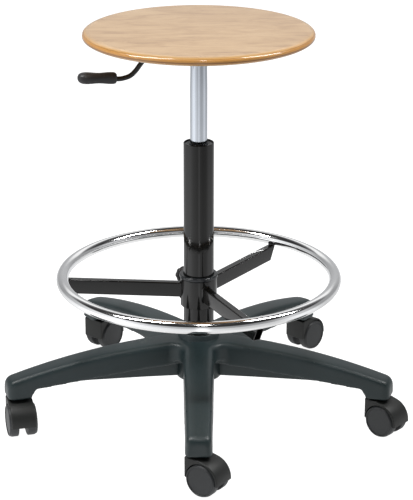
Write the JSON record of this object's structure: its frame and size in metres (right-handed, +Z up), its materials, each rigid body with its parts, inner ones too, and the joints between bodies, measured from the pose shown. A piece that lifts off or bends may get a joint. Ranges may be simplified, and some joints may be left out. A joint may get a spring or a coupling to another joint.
{
  "type": "adjustable swivel stool",
  "caption": "Swivel stool with a round plywood seat on a gas lift, a clamped chrome foot ring and a star base on hooded twin-wheel casters.",
  "frame": {"origin": "on the floor, under the middle of the stool's overall box; the column's axis stands at X -0.0116, Y 0.0276 m", "axes": "+Z up, -Y towards the front arm of the base, +X to the right seen from the front"},
  "size_m": [0.6673, 0.6585, 0.6561],
  "materials": {
    "plywood": "clear lacquer, gloss",
    "black_steel": "gloss black enamel",
    "zinc_steel": "zinc plated",
    "chrome": "polished",
    "satin_steel": "satin",
    "nylon": "satin moulded nylon",
    "black_plastic": "satin moulded",
    "acetal": "natural",
    "rubber": "moulded",
    "tread": "satin moulded"
  },
  "bodies": {
    "base": {"base_star": "nylon", "hub_sleeve": "zinc_steel", "column_tube": "black_steel", "guide_bush": "black_plastic", "bearing_lower_race": "zinc_steel", "bearing_cage": "acetal"},
    "spindle": {"bearing_upper_race": "zinc_steel", "rubber_bumper": "rubber", "piston_rod": "satin_steel", "piston": "acetal", "retaining_clip": "zinc_steel"},
    "seat_head": {"gas_cylinder": "satin_steel", "rod_gland": "black_plastic", "taper_socket": "black_steel", "mechanism_channel": "black_steel", "seat_plate": "black_steel", "seat_screw_1": "zinc_steel", "seat_screw_2": "zinc_steel", "seat_screw_3": "zinc_steel", "seat_screw_4": "zinc_steel", "seat": "plywood"},
    "lever": {"lever_rod": "black_steel", "lever_grip": "black_plastic"},
    "release_button": {"release_button": "black_plastic"},
    "ring_liner": {"ring_liner": "black_plastic"},
    "foot_ring": {"collar": "black_steel", "foot_ring": "chrome", "spoke_1": "black_steel", "spoke_2": "black_steel", "spoke_3": "black_steel"},
    "clamp": {"clamp_screw": "zinc_steel", "clamp_knob": "black_plastic"},
    "caster_front": {"caster_front_body": "black_plastic", "caster_front_stem": "zinc_steel", "caster_front_axle": "zinc_steel"},
    "caster_front_wheel_a": {"caster_front_wheel_a": "tread"},
    "caster_front_wheel_b": {"caster_front_wheel_b": "tread"},
    "caster_right": {"caster_right_body": "black_plastic", "caster_right_stem": "zinc_steel", "caster_right_axle": "zinc_steel"},
    "caster_right_wheel_a": {"caster_right_wheel_a": "tread"},
    "caster_right_wheel_b": {"caster_right_wheel_b": "tread"},
    "caster_rear_right": {"caster_rear_right_body": "black_plastic", "caster_rear_right_stem": "zinc_steel", "caster_rear_right_axle": "zinc_steel"},
    "caster_rear_right_wheel_a": {"caster_rear_right_wheel_a": "tread"},
    "caster_rear_right_wheel_b": {"caster_rear_right_wheel_b": "tread"},
    "caster_rear_left": {"caster_rear_left_body": "black_plastic", "caster_rear_left_stem": "zinc_steel", "caster_rear_left_axle": "zinc_steel"},
    "caster_rear_left_wheel_a": {"caster_rear_left_wheel_a": "tread"},
    "caster_rear_left_wheel_b": {"caster_rear_left_wheel_b": "tread"},
    "caster_left": {"caster_left_body": "black_plastic", "caster_left_stem": "zinc_steel", "caster_left_axle": "zinc_steel"},
    "caster_left_wheel_a": {"caster_left_wheel_a": "tread"},
    "caster_left_wheel_b": {"caster_left_wheel_b": "tread"}
  },
  "joints": [
    {"name": "seat_swivel", "type": "hinge", "parent": "base", "child": "spindle", "pos_m": [-0.01157, 0.02763, 0.3], "axis": [0, 0, 1], "continuous": true},
    {"name": "seat_height", "type": "slide", "parent": "spindle", "child": "seat_head", "axis": [0, 0, 1], "range_m": [-0.125, 0]},
    {"name": "lever_pivot", "type": "hinge", "parent": "seat_head", "child": "lever", "pos_m": [-0.03861, 0.02038, 0.6281], "axis": [-0.2588, 0.9659, 0], "range_deg": [0, 6], "stiffness_Nm_per_rad": 6},
    {"name": "button_press", "type": "slide", "parent": "seat_head", "child": "release_button", "axis": [0, 0, 1], "range_m": [-0.004, 0]},
    {"name": "ring_height", "type": "slide", "parent": "base", "child": "ring_liner", "axis": [0, 0, 1], "range_m": [-0.04, 0.2]},
    {"name": "ring_turn", "type": "hinge", "parent": "ring_liner", "child": "foot_ring", "pos_m": [-0.01157, 0.02763, 0.21], "axis": [0, 0, 1], "continuous": true},
    {"name": "clamp_turn", "type": "hinge", "parent": "foot_ring", "child": "clamp", "pos_m": [-0.0373, 0.08183, 0.219], "axis": [-0.4289, 0.9033, 0], "range_deg": [0, 720]},
    {"name": "caster_front_swivel", "type": "hinge", "parent": "base", "child": "caster_front", "pos_m": [-0.01157, -0.28437, 0.06], "axis": [0, 0, 1], "continuous": true},
    {"name": "caster_front_roll_a", "type": "hinge", "parent": "caster_front", "child": "caster_front_wheel_a", "pos_m": [0.00236, -0.29412, 0.027], "axis": [0.5736, 0.8192, 0], "continuous": true},
    {"name": "caster_front_roll_b", "type": "hinge", "parent": "caster_front", "child": "caster_front_wheel_b", "pos_m": [0.00236, -0.29412, 0.027], "axis": [0.5736, 0.8192, 0], "continuous": true},
    {"name": "caster_right_swivel", "type": "hinge", "parent": "base", "child": "caster_right", "pos_m": [0.28516, -0.06878, 0.06], "axis": [0, 0, 1], "continuous": true},
    {"name": "caster_right_roll_a", "type": "hinge", "parent": "caster_right", "child": "caster_right_wheel_a", "pos_m": [0.29779, -0.08016, 0.027], "axis": [0.6691, 0.7431, 0], "continuous": true},
    {"name": "caster_right_roll_b", "type": "hinge", "parent": "caster_right", "child": "caster_right_wheel_b", "pos_m": [0.29779, -0.08016, 0.027], "axis": [0.6691, 0.7431, 0], "continuous": true},
    {"name": "caster_rear_right_swivel", "type": "hinge", "parent": "base", "child": "caster_rear_right", "pos_m": [0.17182, 0.28004, 0.06], "axis": [0, 0, 1], "continuous": true},
    {"name": "caster_rear_right_roll_a", "type": "hinge", "parent": "caster_rear_right", "child": "caster_rear_right_wheel_a", "pos_m": [0.1832, 0.29268, 0.027], "axis": [-0.7431, 0.6691, 0], "continuous": true},
    {"name": "caster_rear_right_roll_b", "type": "hinge", "parent": "caster_rear_right", "child": "caster_rear_right_wheel_b", "pos_m": [0.1832, 0.29268, 0.027], "axis": [-0.7431, 0.6691, 0], "continuous": true},
    {"name": "caster_rear_left_swivel", "type": "hinge", "parent": "base", "child": "caster_rear_left", "pos_m": [-0.19496, 0.28004, 0.06], "axis": [0, 0, 1], "continuous": true},
    {"name": "caster_rear_left_roll_a", "type": "hinge", "parent": "caster_rear_left", "child": "caster_rear_left_wheel_a", "pos_m": [-0.18403, 0.29307, 0.027], "axis": [-0.766, 0.6428, 0], "continuous": true},
    {"name": "caster_rear_left_roll_b", "type": "hinge", "parent": "caster_rear_left", "child": "caster_rear_left_wheel_b", "pos_m": [-0.18403, 0.29307, 0.027], "axis": [-0.766, 0.6428, 0], "continuous": true},
    {"name": "caster_left_swivel", "type": "hinge", "parent": "base", "child": "caster_left", "pos_m": [-0.3083, -0.06878, 0.06], "axis": [0, 0, 1], "continuous": true},
    {"name": "caster_left_roll_a", "type": "hinge", "parent": "caster_left", "child": "caster_left_wheel_a", "pos_m": [-0.3039, -0.0852, 0.027], "axis": [0.9659, 0.2588, 0], "continuous": true},
    {"name": "caster_left_roll_b", "type": "hinge", "parent": "caster_left", "child": "caster_left_wheel_b", "pos_m": [-0.3039, -0.0852, 0.027], "axis": [0.9659, 0.2588, 0], "continuous": true}
  ],
  "couplings": [
    {"joint": "button_press", "follows": "lever_pivot", "m_per_rad": -0.0335}
  ]
}
